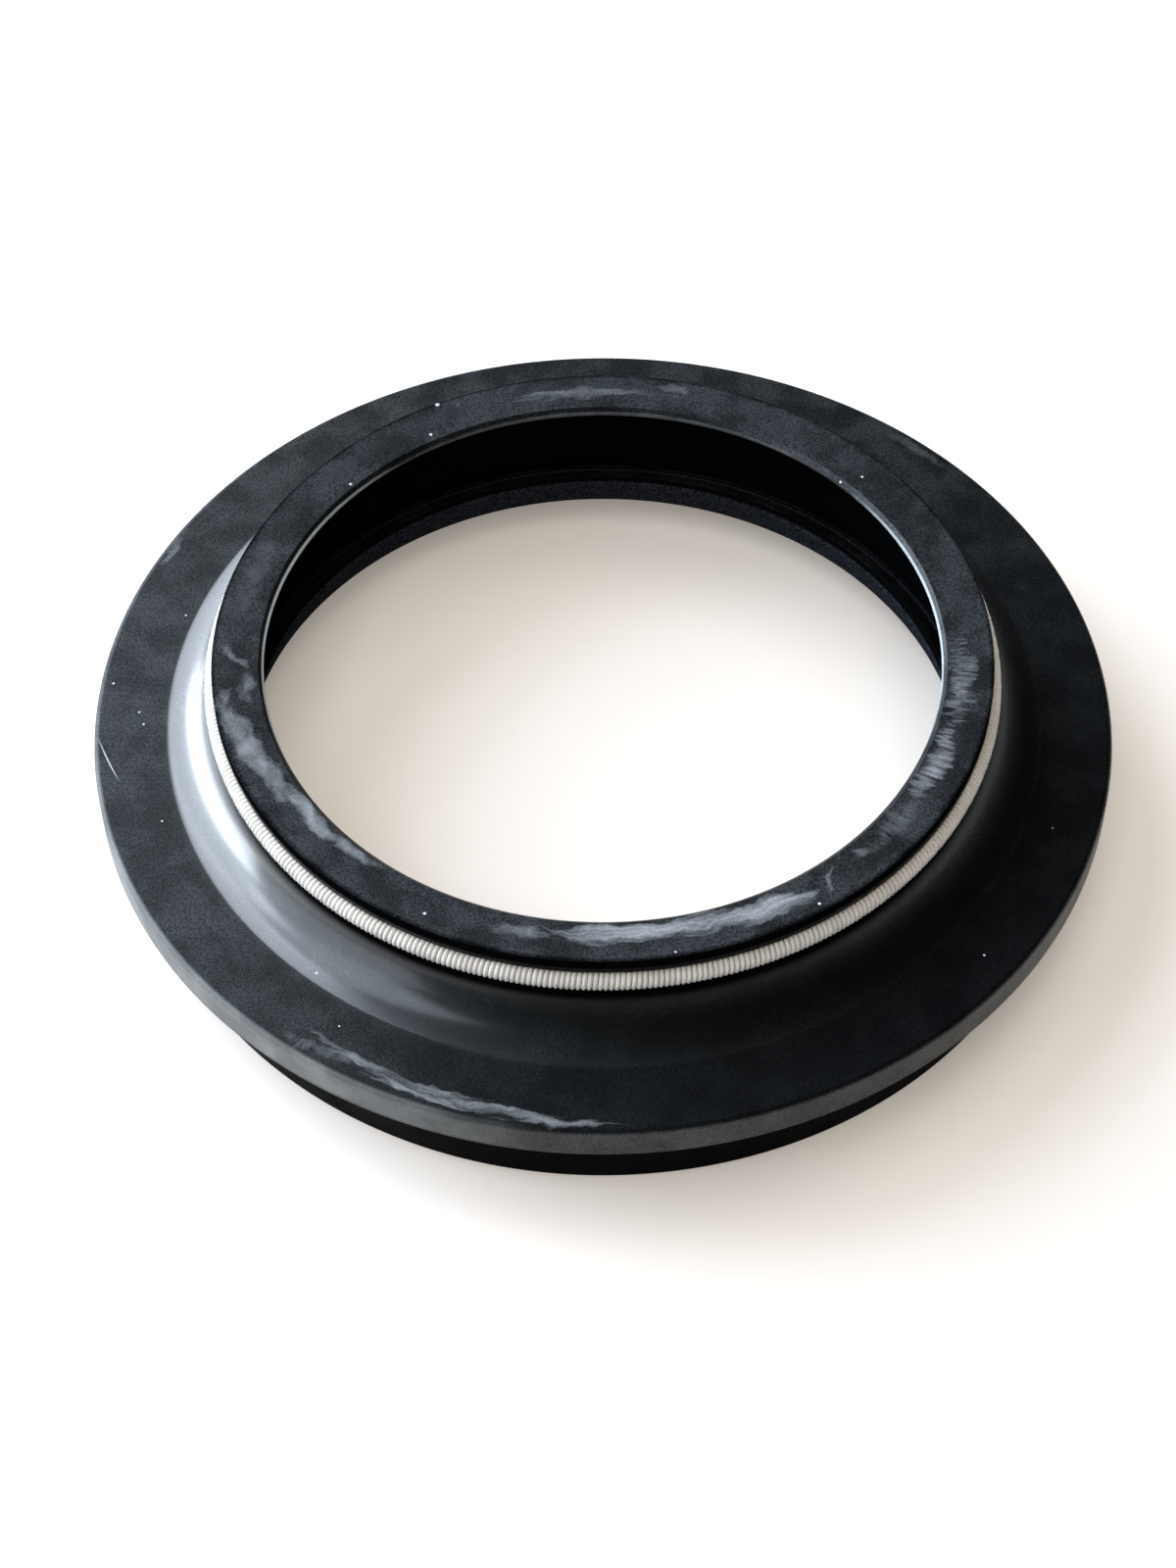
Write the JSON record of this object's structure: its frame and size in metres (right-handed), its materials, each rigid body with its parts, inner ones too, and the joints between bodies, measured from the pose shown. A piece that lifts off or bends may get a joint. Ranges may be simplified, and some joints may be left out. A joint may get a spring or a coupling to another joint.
{
  "type": "fork dust seal",
  "caption": "Ring-shaped rubber dust seal for a motorbike fork, with a wiping lip held by a garter spring and a press-in collar under a flange.",
  "frame": {"origin": "middle of the ring, at the level of the collar's foot", "axes": "+Z along the ring's axis, towards the wiping lip; X and Y alike"},
  "size_m": [0.06, 0.06, 0.0132],
  "materials": {
    "rubber": "matte black with a fine grain",
    "spring_steel": "bright drawn wire"
  },
  "bodies": {
    "root": {"seal_body": "rubber", "garter_spring": "spring_steel"}
  },
  "joints": []
}
